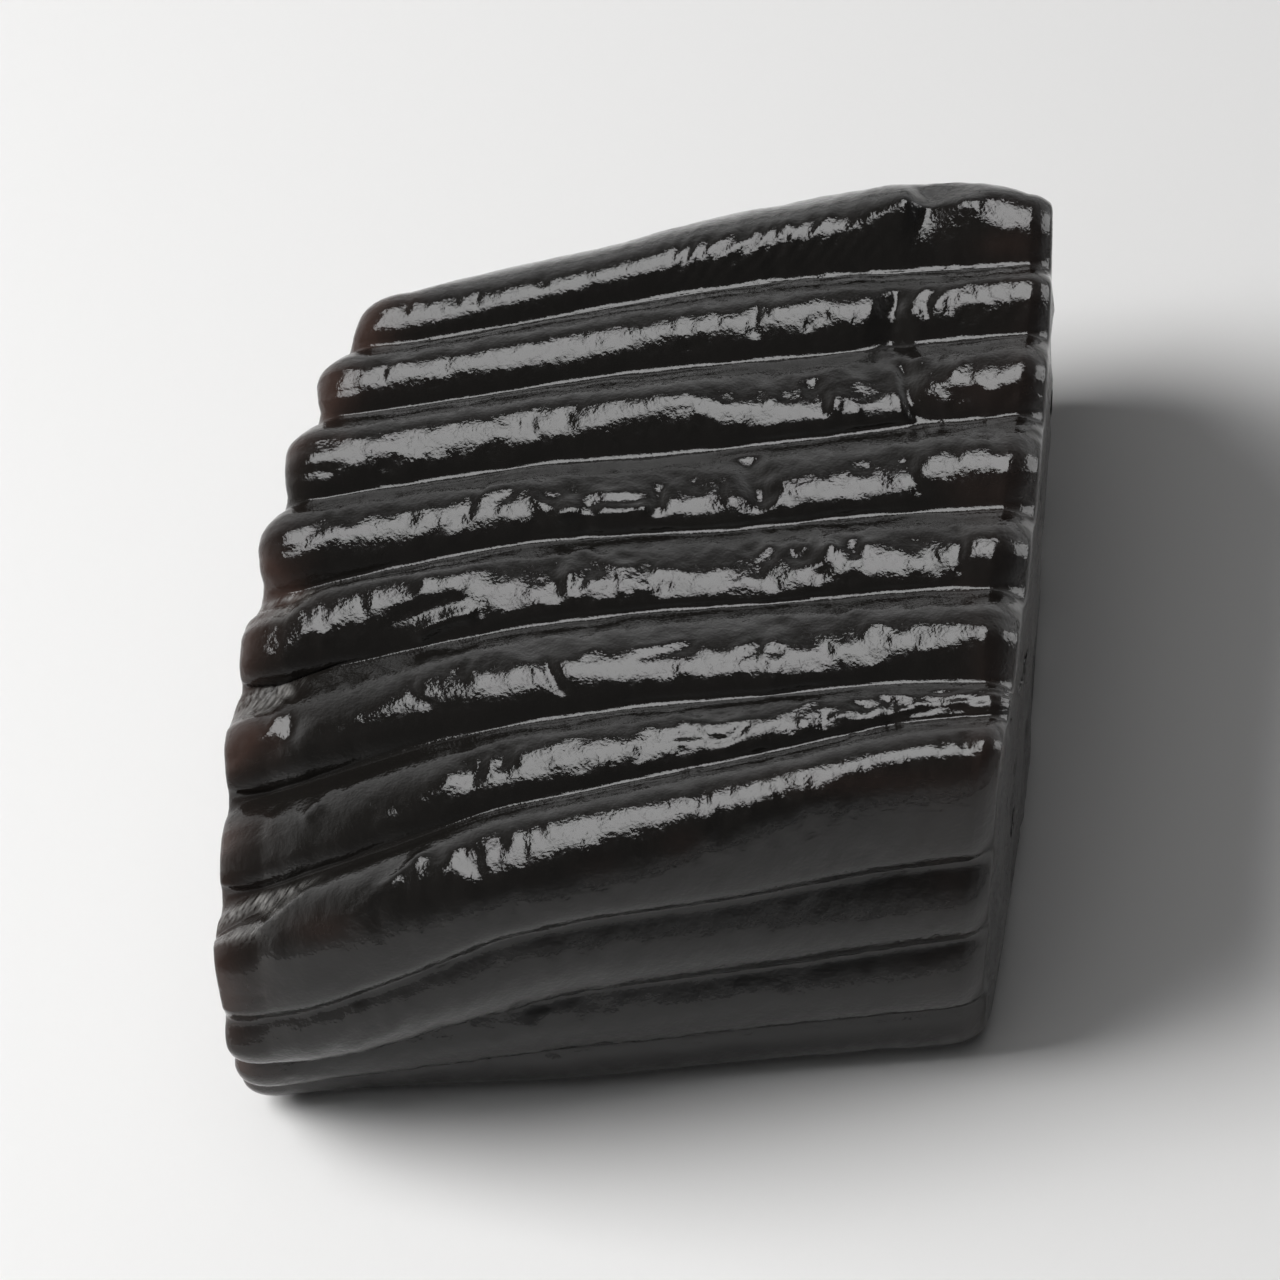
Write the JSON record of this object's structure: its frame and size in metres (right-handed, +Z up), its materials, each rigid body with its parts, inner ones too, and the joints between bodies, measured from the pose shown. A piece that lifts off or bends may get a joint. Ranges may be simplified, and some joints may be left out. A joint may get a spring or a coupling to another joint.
{
  "type": "black licorice ripple candy",
  "caption": "Slant-cut piece of glossy black licorice: a slab of fused round strands, ribbed all round, flattened underneath, with star-shaped gaps in its cut ends and a slumped corner.",
  "frame": {"origin": "under the middle of the piece's bounding box, on the plane it rests on", "axes": "+X along the ribs towards the higher cut end, +Y across the ribs away from the slumped side, +Z up out of the ribbed top"},
  "size_m": [0.0334, 0.033, 0.0148],
  "materials": {
    "licorice": "glossy, slightly greasy near-black licorice with a faint red-brown tint where it is thin, with fine streaks along the ribs"
  },
  "bodies": {
    "root": {"licorice_piece": "licorice"}
  },
  "joints": []
}
